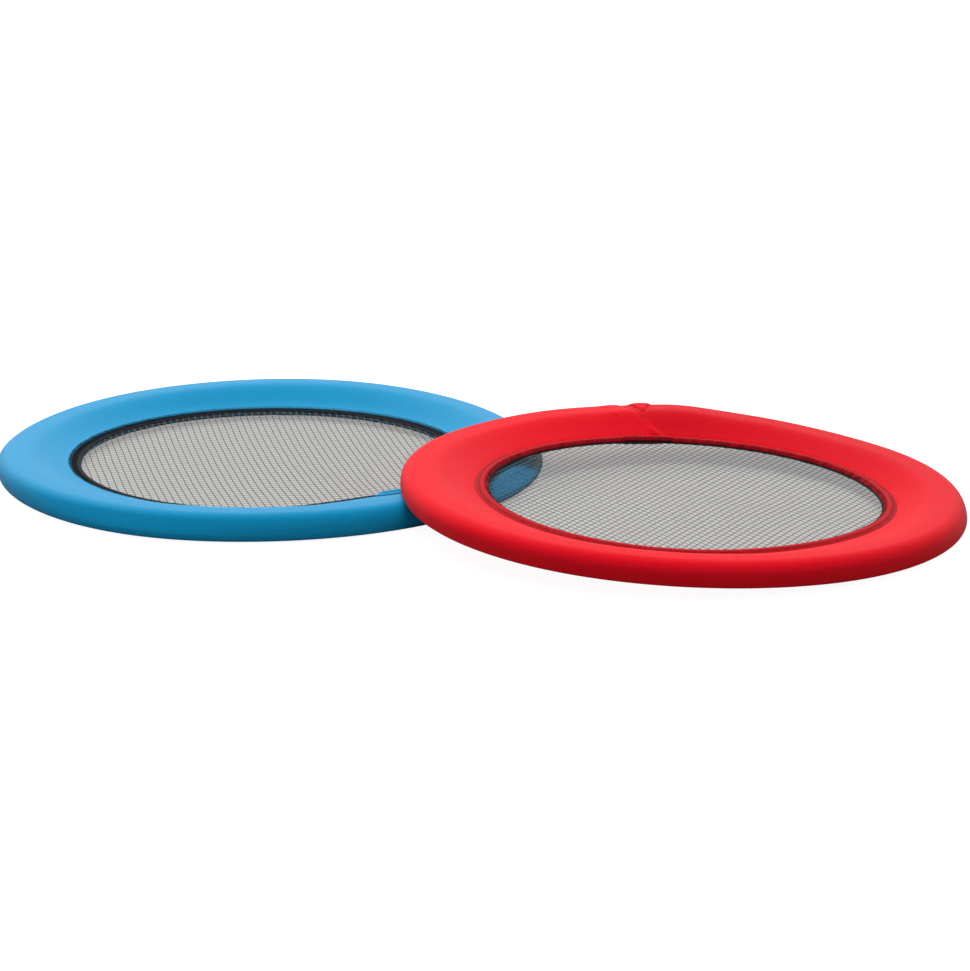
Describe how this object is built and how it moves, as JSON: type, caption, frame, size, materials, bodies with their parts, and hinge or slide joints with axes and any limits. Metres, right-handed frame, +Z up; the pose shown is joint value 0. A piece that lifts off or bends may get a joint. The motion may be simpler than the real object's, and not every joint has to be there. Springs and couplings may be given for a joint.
{
  "type": "pair of net bounce discs",
  "caption": "Pair of round hand-held bounce discs with padded fabric rims and taut nets, one lying flat and one leaning on its rim.",
  "frame": {"origin": "on the floor, under the middle of the pair's bounding box", "axes": "+X from the centre of the blue disc to the centre of the red disc, +Z up"},
  "size_m": [0.5478, 0.3, 0.0274],
  "materials": {
    "blue_cloth": "matt stretch fabric",
    "red_cloth": "matt stretch fabric",
    "black_thread": "twisted thread",
    "hem_tape": "overlocked tape",
    "net_yarn": "open mesh of plastic-coated yarn",
    "foam": "closed-cell foam, hidden in the sleeve",
    "spring_rod": "drawn spring wire"
  },
  "bodies": {
    "blue_disc": {"blue_rim_hoop": "spring_rod", "blue_hoop_ferrule": "spring_rod", "blue_foam_welt_side": "foam", "blue_foam_plain_side": "foam", "blue_cover": "blue_cloth", "blue_cover_lap": "blue_cloth", "blue_welt": "blue_cloth", "blue_welt_thread": "black_thread", "blue_net_hem": "hem_tape", "blue_net": "net_yarn"},
    "red_disc": {"red_rim_hoop": "spring_rod", "red_hoop_ferrule": "spring_rod", "red_foam_welt_side": "foam", "red_foam_plain_side": "foam", "red_cover": "red_cloth", "red_cover_lap": "red_cloth", "red_welt": "red_cloth", "red_welt_thread": "black_thread", "red_net_hem": "hem_tape", "red_net": "net_yarn"}
  },
  "joints": [
    {"name": "red_lift_off", "type": "slide", "parent": "blue_disc", "child": "red_disc", "axis": [0, 0, 1], "range_m": [0, 0.06]}
  ]
}
